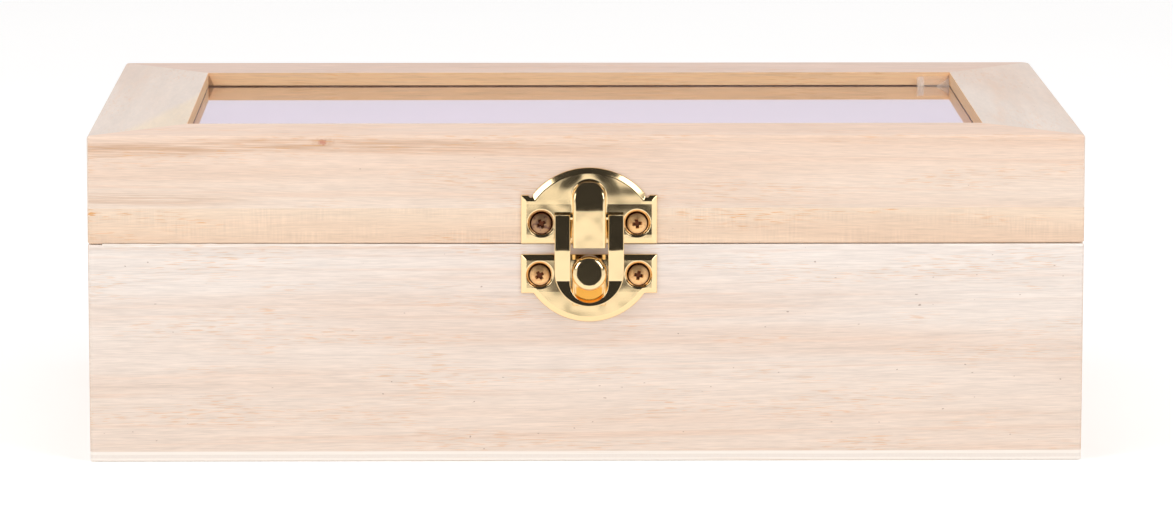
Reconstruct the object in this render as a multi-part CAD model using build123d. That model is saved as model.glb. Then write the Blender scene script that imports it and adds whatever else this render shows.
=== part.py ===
from build123d import *
import math
import os

# Frame: +X to the right along the front, +Y to the rear, +Z up.
# The origin is the centre of the underside of the bottom panel.

# Overall sizes of the box, in millimetres
box_width = 240.0
box_depth = 150.0
base_height = 53.05
lid_rim_height = 8.6
lid_frame_height = 17.6
seam_gap = 0.25

# Boards
wall = 8.0
bottom_thickness = 2.6
corner_radius = 1.0
worn_corner_radius = 2.6
top_arris_radius = 0.8
seam_arris = 0.3
foot_arris = 0.35

# Mitred frame round the window, and what holds the pane
frame_rail_width = 23.0
frame_lip = 3.3
pane_thickness = 2.0
pane_play = 0.3
pane_edge_gap = 0.75
bead_width = 6.0
bead_height = 5.0

# Clearances
running_gap = 0.3
knuckle_gap = 0.2
shaft_clearance = 0.06
screw_clearance = 0.05
pin_end_play = 0.05

# Latch, measured from its middle and from the seam between base and lid
latch_offset = 0.6
sheet = 0.6
plate_rise = 1.3
plate_bevel = 1.1
plate_margin = 0.15
upper_ear_height = 11.8
upper_arc_radius = 17.3
upper_arc_height = 1.3
ear_notch_radius = 0.6
lower_plate_drop = 2.9
lower_ear_height = 9.05
lower_arc_radius = 16.3
lower_arc_rise = 0.3

# Raised loop of the upper plate, which holds the hasp's bar
loop_width = 8.0
loop_sheet = 0.7
loop_rise = 4.9
loop_bottom = -0.35
loop_shoulder = 8.5
loop_top = 15.5
loop_brow_rise = 2.0
loop_edge_radius = 1.2
loop_side_gap = 0.53

# Hasp
hasp_side_width = 3.82
hasp_sheet = 0.8
hasp_bar_radius = 0.8
hasp_knuckle_wall = 0.1
hasp_pivot_height = 6.85
hasp_rise = 3.9
hasp_bend_height = -0.75
hasp_bend_radius = 8.0
hasp_crease_height = -8.5
hasp_crease_radius = 1.2
hasp_foot_height = -14.6
hasp_lip_rise = 5.3
hasp_foot_bar = 1.05

# Catch on the lower plate
catch_side_gap = 0.68
catch_boss_rise = 2.7
catch_boss_drop = 13.85
catch_boss_edge_radius = 0.95
catch_rise = 5.6
catch_top_drop = 2.45
catch_bottom_drop = 11.1
catch_edge_radius = 2.2

# Screws of the latch
latch_screw_head_radius = 2.6
latch_screw_shank_radius = 1.2
latch_screw_length = 7.2
latch_screw_sink = 0.5
latch_screw_dome = 0.6
latch_dimple_rim = 0.65
upper_screw_side_gap = 0.55
upper_screw_height = 5.05
lower_screw_side_gap = 0.95
lower_screw_drop = 7.5
cross_slot_length = 3.0
cross_slot_width = 0.7
cross_slot_depth = 0.9

# Hinges on the rear face
hinge_inset = 45.0
hinge_width = 22.0
hinge_leaf_height = 10.5
hinge_leaf = 1.0
hinge_middle_knuckle = 7.4
hinge_pin_radius = 1.0
hinge_pin_head_ledge = 0.5
hinge_pin_head = 0.5
hinge_corner_radius = 1.5
hinge_screw_head_radius = 1.9
hinge_screw_shank_radius = 0.9
hinge_screw_length = 6.6
hinge_screw_dome = 0.35
hinge_screw_offset = 7.2
hinge_screw_height = 6.4
hinge_slot_length = 2.3
hinge_slot_width = 0.55
hinge_slot_depth = 0.6

# Worked out from the sizes above
half_width = box_width / 2
half_depth = box_depth / 2
inner_half_width = half_width - wall
inner_half_depth = half_depth - wall
lid_bottom = base_height + seam_gap
frame_bottom = lid_bottom + lid_rim_height
lid_top = frame_bottom + lid_frame_height
seam_height = base_height + seam_gap / 2
pane_top = lid_top - frame_lip - pane_play
pane_bottom = pane_top - pane_thickness
lid_edge = seam_gap / 2

hasp_slot_width = loop_width + 2 * loop_side_gap
hasp_width = hasp_slot_width + 2 * hasp_side_width
hasp_knuckle_radius = hasp_bar_radius + hasp_knuckle_wall
hasp_pivot_rise = plate_rise + knuckle_gap + hasp_knuckle_radius
catch_width = hasp_slot_width - 2 * catch_side_gap
latch_dimple_radius = latch_screw_head_radius + latch_dimple_rim
upper_screw_offset = hasp_width / 2 + upper_screw_side_gap + latch_screw_head_radius
lower_screw_offset = hasp_width / 2 + lower_screw_side_gap + latch_screw_head_radius
plate_width = 2 * (max(upper_screw_offset, lower_screw_offset) + latch_dimple_radius
                   + plate_margin + plate_bevel)
hinge_knuckle_radius = hinge_pin_radius + hinge_leaf
hinge_pin_head_radius = hinge_pin_radius + hinge_pin_head_ledge


def block(low, high):
    """A rectangular block between two corners."""
    size = [b - a for a, b in zip(low, high)]
    middle = [(a + b) / 2 for a, b in zip(low, high)]
    return Pos(*middle) * Box(*size)


def edges_at(shape, height):
    """The edges of a shape that lie flat at one height."""
    return [e for e in shape.edges() if all(abs(v.Z - height) < 1e-4 for v in e.vertices())
            and abs(e.center().Z - height) < 1e-4]


def softened_block(low_z, high_z):
    """The box's outer form between two heights, with its upright corners softened."""
    body = block((-half_width, -half_depth, low_z), (half_width, half_depth, high_z))
    rear_right = body.edges().filter_by(Axis.Z).sort_by(lambda e: e.center().X + e.center().Y)[-1]
    body = fillet(rear_right, min(worn_corner_radius, wall / 2))
    others = [e for e in body.edges().filter_by(Axis.Z)
              if e.center().X < 0 or e.center().Y < 0]
    return fillet(others, min(corner_radius, wall / 2))


def wall_blocks(low_z, high_z):
    """Where four butted walls lie: front and rear run the full width, the sides fit between."""
    return {
        "front": block((-half_width, -half_depth, low_z), (half_width, -inner_half_depth, high_z)),
        "rear": block((-half_width, inner_half_depth, low_z), (half_width, half_depth, high_z)),
        "left": block((-half_width, -inner_half_depth, low_z),
                      (-inner_half_width, inner_half_depth, high_z)),
        "right": block((inner_half_width, -inner_half_depth, low_z),
                       (half_width, inner_half_depth, high_z)),
    }


def mitre_wedge(side):
    """The plan region of one frame rail, between the 45 degree lines from the outer corners."""
    reach = min(half_width, half_depth)
    left, right, front, rear = -half_width, half_width, -half_depth, half_depth
    corners = {
        "front": [(left, front), (right, front), (right - reach, front + reach),
                  (left + reach, front + reach)],
        "rear": [(left, rear), (right, rear), (right - reach, rear - reach),
                 (left + reach, rear - reach)],
        "left": [(left, front), (left + reach, front + reach), (left + reach, rear - reach),
                 (left, rear)],
        "right": [(right, front), (right - reach, front + reach), (right - reach, rear - reach),
                  (right, rear)],
    }[side]
    points = [p for i, p in enumerate(corners) if math.dist(p, corners[i - 1]) > 1e-6]
    outline = make_face(Polyline(*points, close=True))
    return extrude(Pos(0, 0, frame_bottom) * outline, lid_frame_height)


def base_body():
    body = softened_block(0, base_height)
    body = chamfer(edges_at(body, base_height), seam_arris)
    return chamfer(edges_at(body, 0), foot_arris)


def lid_body():
    body = softened_block(lid_bottom, lid_top)
    body = fillet(edges_at(body, lid_top), top_arris_radius)
    return chamfer(edges_at(body, lid_bottom), seam_arris)


def base_boards():
    """Four walls and the plywood bottom panel under them."""
    body = base_body()
    panel = block((-half_width, -half_depth, 0), (half_width, half_depth, bottom_thickness))
    boards = {"base_bottom_panel": body & panel}
    for side, place in wall_blocks(bottom_thickness, base_height).items():
        boards[f"base_{side}_wall"] = body & place
    return boards


def lid_boards():
    """The mitred frame round the window, and the rim strips glued under it."""
    body = lid_body()
    boards = {}
    for side, place in wall_blocks(lid_bottom, frame_bottom).items():
        boards[f"lid_{side}_rim"] = body & place
    window = block((-half_width + frame_rail_width, -half_depth + frame_rail_width, frame_bottom),
                   (half_width - frame_rail_width, half_depth - frame_rail_width, lid_top))
    rebate = block((-inner_half_width, -inner_half_depth, frame_bottom),
                   (inner_half_width, inner_half_depth, lid_top - frame_lip))
    frame = (body & block((-half_width, -half_depth, frame_bottom),
                          (half_width, half_depth, lid_top))) - window - rebate
    for side in ("front", "rear", "left", "right"):
        boards[f"lid_{side}_frame_rail"] = frame & mitre_wedge(side)
    return boards


def pane_and_beads():
    """The window pane, and the four beads glued to the frame that hold it up."""
    x, y = inner_half_width, inner_half_depth
    parts = {"window_pane": block((-x + pane_edge_gap, -y + pane_edge_gap, pane_bottom),
                                  (x - pane_edge_gap, y - pane_edge_gap, pane_top))}
    low, high = pane_bottom - bead_height, pane_bottom
    parts["pane_bead_front"] = block((-x, -y, low), (x, -y + bead_width, high))
    parts["pane_bead_rear"] = block((-x, y - bead_width, low), (x, y, high))
    parts["pane_bead_left"] = block((-x, -y + bead_width, low), (-x + bead_width, y - bead_width, high))
    parts["pane_bead_right"] = block((x - bead_width, -y + bead_width, low), (x, y - bead_width, high))
    return parts


# Hardware is drawn on the face that it is screwed to: x along the face, y up from the seam
# and z out of the face.
front_face = Plane(origin=(latch_offset, -half_depth, seam_height), x_dir=(1, 0, 0),
                   z_dir=(0, -1, 0)).location


def rear_face(x):
    return Plane(origin=(x, half_depth, seam_height), x_dir=(-1, 0, 0), z_dir=(0, 1, 0)).location


def turned(outline):
    """A solid turned about the z axis from points given as radius and height."""
    return revolve(Plane.XZ * make_face(outline), axis=Axis.Z)


def screw(head_radius, shank_radius, length, dome, slots):
    """A cross-slot wood screw, with the rim of its head at height 0 and its point below."""
    neck = shank_radius - head_radius
    crown = TangentArc((0, dome), (head_radius, 0), tangent=(1, 0))
    side = Polyline((head_radius, 0), (shank_radius, neck), (shank_radius, shank_radius - length),
                    (0, -length), (0, dome))
    body = turned([crown, side])
    slot_length, slot_width, slot_depth = slots
    for angle in (0, 90):
        body -= Rot(0, 0, angle) * Pos(0, 0, dome) * Box(slot_length, slot_width, 2 * slot_depth)
    return body


def screw_seat(head_radius, shank_radius, length, mouth_radius):
    """What a screw takes out of the plate and the board, with its clearance all round."""
    gap = screw_clearance
    shank = shank_radius + gap
    head = head_radius + 2 * gap
    mouth = mouth_radius + 2 * gap
    above = 2 * mouth
    return turned([Polyline((0, above), (mouth, above), (mouth, mouth - head), (shank, shank - head),
                            (shank, -length - gap), (0, -length - gap), (0, above))])


def latch_screw():
    return screw(latch_screw_head_radius, latch_screw_shank_radius, latch_screw_length,
                 latch_screw_dome, (cross_slot_length, cross_slot_width, cross_slot_depth))


def latch_screw_seat():
    return screw_seat(latch_screw_head_radius, latch_screw_shank_radius, latch_screw_length,
                      latch_dimple_radius)


def hinge_screw():
    return screw(hinge_screw_head_radius, hinge_screw_shank_radius, hinge_screw_length,
                 hinge_screw_dome, (hinge_slot_length, hinge_slot_width, hinge_slot_depth))


def hinge_screw_seat():
    return screw_seat(hinge_screw_head_radius, hinge_screw_shank_radius, hinge_screw_length,
                      hinge_screw_head_radius)


head_rim_rise = plate_rise - latch_screw_sink
upper_screw_places = {
    "left": Pos(-upper_screw_offset, upper_screw_height, head_rim_rise),
    "right": Pos(upper_screw_offset, upper_screw_height, head_rim_rise),
}
lower_screw_places = {
    "left": Pos(-lower_screw_offset, -lower_screw_drop, head_rim_rise),
    "right": Pos(lower_screw_offset, -lower_screw_drop, head_rim_rise),
}


def stamped_plate(outline, screw_places):
    """A plate pressed from sheet: a raised field with a bevelled rim, hollow behind."""
    plate = extrude(outline, plate_rise)
    plate = chamfer(edges_at(plate, plate_rise), plate_bevel)
    hollow = extrude(offset(outline, -(plate_bevel + sheet / 2)), plate_rise - sheet)
    boss_radius = latch_dimple_radius + sheet
    for place in screw_places.values():
        spot = place.position
        hollow -= Pos(spot.X, spot.Y, plate_rise / 2) * Cylinder(boss_radius, plate_rise)
    plate -= hollow
    for place in screw_places.values():
        plate -= place * latch_screw_seat()
    return plate


def from_the_side(lines, half_span):
    """A solid spanning both ways along x, from lines given as y and z."""
    return extrude(Plane.YZ * make_face(lines), amount=half_span, both=True)


def loop_form(inset):
    """The raised loop's form, or the hollow inside it: upright sides and a sloping round top."""
    width = loop_width - 2 * inset
    rise = loop_rise - inset
    top = loop_top - inset
    brow_rise = loop_brow_rise - inset
    radius = width / 2
    outline = Pos(0, (top - radius + loop_bottom) / 2) * Rectangle(width, top - radius - loop_bottom)
    outline += Pos(0, top - radius) * Circle(radius)
    back = Polyline((top, brow_rise), (top, 0), (loop_bottom, 0), (loop_bottom, rise),
                    (loop_shoulder, rise))
    brow = TangentArc((loop_shoulder, rise), (top, brow_rise), tangent=(1, 0))
    return extrude(outline, rise) & from_the_side([back, brow], width)


def loop_rim(loop):
    """The edges that run up both sides of the loop's front and round its top."""
    def runs_across(edge):
        return abs(edge.center().Y - loop_bottom) < 1e-3 or abs(edge.center().Y - loop_shoulder) < 1e-3
    lowest = loop_brow_rise - 1e-3
    return [e for e in loop.edges()
            if min(v.Z for v in e.vertices()) > lowest and not runs_across(e)]


def upper_plate():
    """Upper plate of the latch, with the loop that the hasp's bar turns in."""
    bottom = lid_edge
    ear_top = bottom + upper_ear_height
    outline = Pos(0, (bottom + ear_top) / 2) * Rectangle(plate_width, upper_ear_height)
    above = Pos(0, ear_top + upper_arc_radius) * Rectangle(plate_width * 2, 2 * upper_arc_radius)
    outline += (Pos(0, upper_arc_height) * Circle(upper_arc_radius)) & above
    plate = stamped_plate(outline, upper_screw_places)
    chord = math.sqrt(upper_arc_radius ** 2 - (ear_top - upper_arc_height) ** 2)
    for side in (-1, 1):
        plate -= Pos(side * (chord + ear_notch_radius / 2), ear_top) * Cylinder(ear_notch_radius,
                                                                             4 * plate_rise)
    loop = loop_form(0)
    loop = fillet(loop_rim(loop), loop_edge_radius)
    cavity = loop_form(loop_sheet)
    foot_clear = block((-loop_width, loop_bottom, 0), (loop_width, bottom, plate_rise + running_gap))
    plate = plate + (loop - foot_clear) - cavity
    bore = hasp_bar_radius + shaft_clearance
    plate -= hasp_axis_cylinder(bore, plate_width)
    return plate


def hasp_axis_cylinder(radius, length):
    return Pos(0, hasp_pivot_height, hasp_pivot_rise) * Rot(0, 90, 0) * Cylinder(radius, length)


def hasp():
    """The swinging hasp: a bent ring whose bar turns in the loop of the upper plate."""
    half = hasp_width / 2
    path = FilletPolyline((hasp_pivot_height, hasp_pivot_rise), (hasp_bend_height, hasp_rise),
                          (hasp_crease_height, hasp_rise), (hasp_foot_height - hasp_sheet, hasp_lip_rise),
                          radius=(hasp_bend_radius, hasp_crease_radius))
    strip = extrude(Plane.YZ * trace(path, hasp_sheet), amount=half, both=True)
    deep = hasp_lip_rise + hasp_sheet
    round_centre = hasp_foot_height + half
    outline = Pos(0, (hasp_pivot_height + round_centre) / 2) * Rectangle(
        hasp_width, hasp_pivot_height - round_centre)
    outline += Pos(0, round_centre) * Circle(half)
    slot_half = hasp_slot_width / 2
    slot_low = hasp_foot_height + hasp_foot_bar + slot_half
    slot_high = hasp_pivot_height + hasp_knuckle_radius
    slot = Pos(0, (slot_low + slot_high) / 2) * Rectangle(hasp_slot_width, slot_high - slot_low)
    slot += Pos(0, slot_low) * Circle(slot_half)
    ring = strip & extrude(outline, deep)
    knuckle_length = half - slot_half
    for side in (-1, 1):
        ring += Pos(side * (slot_half + knuckle_length / 2), 0, 0) * hasp_axis_cylinder(
            hasp_knuckle_radius, knuckle_length)
    ring -= extrude(slot, deep)
    return ring + hasp_axis_cylinder(hasp_bar_radius, hasp_width - knuckle_length)


def catch():
    """The catch on the lower plate: a low boss that carries a rounded knob."""
    half = catch_width / 2
    boss_top = -lower_plate_drop - plate_bevel
    boss_low = -catch_boss_drop + half
    boss = Pos(0, (boss_top + boss_low) / 2) * Rectangle(catch_width, boss_top - boss_low)
    boss += Pos(0, boss_low) * Circle(half)
    boss = extrude(boss, catch_boss_rise)
    boss = fillet(edges_at(boss, catch_boss_rise), catch_boss_edge_radius)
    top = -catch_top_drop - half
    low = -catch_bottom_drop + half
    knob = Pos(0, (top + low) / 2) * Rectangle(catch_width, top - low)
    knob += Pos(0, low) * Circle(half)
    knob += Pos(0, top) * Circle(half)
    knob = Pos(0, 0, catch_boss_rise / 2) * extrude(knob, catch_rise - catch_boss_rise / 2)
    knob = fillet(edges_at(knob, catch_rise), catch_edge_radius)
    return boss + knob


def lower_plate():
    """Lower plate of the latch, with the catch that the hasp's slot drops over."""
    top = -lower_plate_drop
    ear_bottom = top - lower_ear_height
    outline = Pos(0, (top + ear_bottom) / 2) * Rectangle(plate_width, lower_ear_height)
    below = Pos(0, ear_bottom - lower_arc_radius) * Rectangle(plate_width * 2, 2 * lower_arc_radius)
    outline += (Pos(0, top + lower_arc_rise) * Circle(lower_arc_radius)) & below
    return stamped_plate(outline, lower_screw_places) + catch()


def hinge_barrel(low, high, radius):
    """A length of the hinge's barrel, about the pin's axis."""
    axis_rise = hinge_knuckle_radius + running_gap
    return Pos((low + high) / 2, 0, axis_rise) * Rot(0, 90, 0) * Cylinder(radius, high - low)


def hinge_leaf_blank(direction):
    """A leaf going up for the lid or down for the base, with its two outer corners rounded."""
    half = hinge_width / 2
    low, high = sorted((direction * lid_edge, direction * hinge_leaf_height))
    leaf = block((-half, low, 0), (half, high, hinge_leaf))
    far = direction * hinge_leaf_height
    corners = [e for e in leaf.edges().filter_by(Axis.Z) if abs(e.center().Y - far) < 1e-4]
    leaf = fillet(corners, hinge_corner_radius)
    for x in (-hinge_screw_offset, hinge_screw_offset):
        leaf -= Pos(x, direction * hinge_screw_height, hinge_leaf) * hinge_screw_seat()
    return leaf


def hinge_leaves():
    """The two leaves of one hinge: the lid's has the middle knuckle, the base's the outer two."""
    half = hinge_width / 2
    middle = hinge_middle_knuckle / 2
    outer = middle + knuckle_gap
    clear = hinge_knuckle_radius + running_gap
    bore = hinge_barrel(-half, half, hinge_pin_radius + shaft_clearance)
    lid_leaf = hinge_leaf_blank(1)
    base_leaf = hinge_leaf_blank(-1)
    for side in (-1, 1):
        low, high = sorted((side * middle, side * half))
        lid_leaf -= block((low, 0, 0), (high, clear, hinge_leaf))
        low, high = sorted((side * outer, side * half))
        base_leaf += hinge_barrel(low, high, hinge_knuckle_radius)
    lid_leaf += hinge_barrel(-middle, middle, hinge_knuckle_radius)
    base_leaf -= block((-outer, -clear, 0), (outer, 0, hinge_leaf))
    return lid_leaf - bore, base_leaf - bore


def hinge_pin():
    half = hinge_width / 2
    pin = hinge_barrel(-half, half, hinge_pin_radius)
    for side in (-1, 1):
        inner = half + pin_end_play
        low, high = sorted((side * inner, side * (inner + hinge_pin_head)))
        pin += hinge_barrel(low, high, hinge_pin_head_radius)
        low, high = sorted((side * half, side * inner))
        pin += hinge_barrel(low, high, hinge_pin_radius)
    return pin


def hinge_screw_places(direction):
    return [Pos(x, direction * hinge_screw_height, hinge_leaf)
            for x in (-hinge_screw_offset, hinge_screw_offset)]


parts = {}
parts.update(base_boards())
parts.update(lid_boards())
parts.update(pane_and_beads())


def drill(board_names, tool):
    """Cuts a tool out of the boards that it can reach."""
    for board in board_names:
        parts[board] -= tool


# Latch
parts["latch_upper_plate"] = front_face * upper_plate()
parts["latch_hasp"] = front_face * hasp()
parts["latch_lower_plate"] = front_face * lower_plate()
for side, place in upper_screw_places.items():
    parts[f"latch_upper_screw_{side}"] = front_face * place * latch_screw()
    drill(("lid_front_rim", "lid_front_frame_rail"), front_face * place * latch_screw_seat())
for side, place in lower_screw_places.items():
    parts[f"latch_lower_screw_{side}"] = front_face * place * latch_screw()
    drill(("base_front_wall",), front_face * place * latch_screw_seat())

# Hinges, with their screws grouped by the part of the box that they are driven into
lid_screws = []
base_screws = []
for side, x in (("left", -half_width + hinge_inset), ("right", half_width - hinge_inset)):
    face = rear_face(x)
    lid_leaf, base_leaf = hinge_leaves()
    parts[f"hinge_{side}_lid_leaf"] = face * lid_leaf
    parts[f"hinge_{side}_base_leaf"] = face * base_leaf
    parts[f"hinge_{side}_pin"] = face * hinge_pin()
    for place in hinge_screw_places(1):
        lid_screws.append(face * place * hinge_screw())
        drill(("lid_rear_rim", "lid_rear_frame_rail"), face * place * hinge_screw_seat())
    for place in hinge_screw_places(-1):
        base_screws.append(face * place * hinge_screw())
        drill(("base_rear_wall",), face * place * hinge_screw_seat())
parts["hinge_screws_lid"] = Compound(children=lid_screws)
parts["hinge_screws_base"] = Compound(children=base_screws)

os.makedirs("parts", exist_ok=True)
for name, shape in parts.items():
    shape.label = name
    export_step(shape, f"parts/{name}.step")
print(len(parts), "parts written")
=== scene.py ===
import math
from contextlib import contextmanager
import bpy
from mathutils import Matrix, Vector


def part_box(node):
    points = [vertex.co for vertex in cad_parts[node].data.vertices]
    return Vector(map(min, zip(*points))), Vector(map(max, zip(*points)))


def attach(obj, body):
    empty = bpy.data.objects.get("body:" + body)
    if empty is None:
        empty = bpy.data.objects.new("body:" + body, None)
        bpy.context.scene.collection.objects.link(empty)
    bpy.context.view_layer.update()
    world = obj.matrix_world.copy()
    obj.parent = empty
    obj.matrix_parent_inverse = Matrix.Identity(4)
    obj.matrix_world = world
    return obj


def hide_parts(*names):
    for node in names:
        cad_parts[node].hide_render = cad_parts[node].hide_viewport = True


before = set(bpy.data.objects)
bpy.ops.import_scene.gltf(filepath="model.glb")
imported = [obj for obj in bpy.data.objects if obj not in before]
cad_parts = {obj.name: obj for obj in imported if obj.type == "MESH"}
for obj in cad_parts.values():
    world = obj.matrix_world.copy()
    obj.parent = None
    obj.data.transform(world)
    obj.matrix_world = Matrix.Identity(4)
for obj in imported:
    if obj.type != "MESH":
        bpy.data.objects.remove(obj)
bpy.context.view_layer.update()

from types import SimpleNamespace

import bmesh
import bpy
from bpy.props import FloatProperty, FloatVectorProperty, PointerProperty
from mathutils import Matrix, Vector

bl_info = {
    "name": "Window Lid Box",
    "version": (1, 0, 0),
    "blender": (4, 5, 0),
    "location": "View3D > Sidebar > Window Lid Box",
    "description": "Finishes a pale wooden box with a window in its lid and a brass latch",
    "category": "Object",
}

MM = 0.001

# Millimetres between places that count as one, and between points that are merged
NEAR = 1e-3
MERGE = 1e-4

# The box's four sides, each with the way that its boards' grain runs
SIDES = {"front": "x", "rear": "x", "left": "y", "right": "y"}

# Places read from the frame, in metres
box_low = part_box("base_front_wall")[0]
box_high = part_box("base_rear_wall")[1]
panel_top = box_low.z
base_top = box_high.z
lid_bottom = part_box("lid_front_rim")[0].z
glue_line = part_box("lid_front_rim")[1].z
lid_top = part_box("lid_front_frame_rail")[1].z
pane_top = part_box("window_pane")[1].z
window_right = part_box("lid_right_frame_rail")[0].x
window_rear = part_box("lid_rear_frame_rail")[0].y
seam_height = (base_top + lid_bottom) / 2
latch_middle = sum(corner.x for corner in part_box("latch_upper_plate")) / 2


def upright_face(x, y, z, outward=-1):
    """The millimetres of an upright face, from a point on it: x along the face, y up and z out of
    it. Out is to the front for -1 and to the rear for 1."""
    return Matrix(((-outward * MM, 0, 0, x), (0, 0, outward * MM, y), (0, MM, 0, z), (0, 0, 0, 1)))


# The latch is modelled on the front face, in millimetres from the seam
on_front = upright_face(latch_middle, box_low.y, seam_height)


def on_rear(hand):
    """The rear face's millimetres, from the seam at a hinge's middle."""
    middle = sum(corner.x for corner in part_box(f"hinge_{hand}_pin")) / 2
    return upright_face(middle, box_high.y, seam_height, 1)


def latch_box(node):
    """The lowest and highest corner of a node of the latch, in the front face's millimetres."""
    corners = [on_front.inverted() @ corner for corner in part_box(node)]
    return (Vector(map(min, *corners)), Vector(map(max, *corners)))


def latch_screw_spot(side, hand):
    """The middle of a screw of the latch, in the front face's millimetres."""
    low, high = latch_box(f"latch_{side}_screw_{hand}")
    return (low.x + high.x) / 2, (low.y + high.y) / 2


# Sizes and colours that a user would change

def length(name, description, millimetres):
    return FloatProperty(name=name, description=description, default=millimetres * MM, min=0.0,
                         subtype="DISTANCE", unit="LENGTH", precision=5)


def angle(name, description, degrees):
    return FloatProperty(name=name, description=description, default=math.radians(degrees),
                         subtype="ANGLE", unit="ROTATION")


def amount(name, description, share):
    return FloatProperty(name=name, description=description, default=share, min=0.0, max=1.0,
                         subtype="FACTOR")


def power(name, description, watts):
    return FloatProperty(name=name, description=description, default=watts, min=0.0,
                         subtype="POWER", unit="POWER")


def tint(name, description, *screen):
    """A colour, given as the numbers from 0 to 255 that a screen shows it by."""
    shares = [number / 255 for number in screen]
    linear = tuple(c / 12.92 if c <= 0.04045 else ((c + 0.055) / 1.055) ** 2.4 for c in shares)
    return FloatVectorProperty(name=name, description=description, default=linear, size=3,
                               min=0.0, max=1.0, subtype="COLOR")


def in_millimetres(group):
    """A group's lengths in millimetres, and its other values as they are, by name."""
    values = {}
    for key in group.__annotations__:
        is_length = group.bl_rna.properties[key].unit == "LENGTH"
        values[key] = getattr(group, key) / MM if is_length else getattr(group, key)
    return SimpleNamespace(**values)


class WoodLook(bpy.types.PropertyGroup):
    wall_low: tint("Wall, low", "Colour of the base's walls near the bottom", 235, 216, 201)
    wall_high: tint("Wall, high", "Colour of the base's walls near the seam", 240, 228, 219)
    rail_low: tint("Frame, low", "Colour of the lid's frame above the glue line", 240, 221, 205)
    rail_high: tint("Frame, high", "Colour of the lid's frame near its top", 240, 213, 193)
    rear_rail: tint("Rear rail", "Colour of the top of the frame's rear rail", 226, 200, 184)
    side_rail: tint("Side rails", "Colour of the tops of the frame's side rails", 230, 215, 203)
    rim_low: tint("Rim, low", "Colour of the strips under the frame", 238, 210, 184)
    rim_high: tint("Rim, high", "Colour of the strips near the glue line", 240, 216, 193)
    # The corner stain is painted shadow: the dark triangles that the side rails would cast in the
    # window's corners
    stain: tint("Corner stain", "Colour of the dark stain in the window's corners", 128, 92, 70)
    cut_face: tint("Window edge", "Colour of the sawn faces round the window", 255, 208, 159)
    growth: tint("Growth line", "Colour of the growth lines", 222, 186, 160)
    band: tint("Brown band", "Colour of the broad brownish bands", 206, 166, 134)
    vessel: tint("Vessels", "Colour of the short open pores", 226, 160, 88)
    speck: tint("Specks", "Colour of the small dark specks", 150, 118, 100)
    knot: tint("Knot", "Colour of the small knot in the lid's front", 196, 118, 100)
    wedge: tint("Wedge", "Colour of the yellower wedge beside the window", 241, 220, 188)
    torn_edge: tint("Torn edge", "Colour of the torn upper edge of the base", 254, 247, 240)
    torn_fibres: tint("Torn fibres", "Colour of the fibres in the seam", 250, 240, 230)
    ply: tint("Plywood", "Colour of the outer layers of the bottom panel", 252, 243, 234)
    ply_core: tint("Plywood core", "Colour of the bottom panel's middle layer", 246, 238, 230)
    fibre_contrast: amount("Fibre contrast", "How much the fibres vary in brightness", 0.42)


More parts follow.
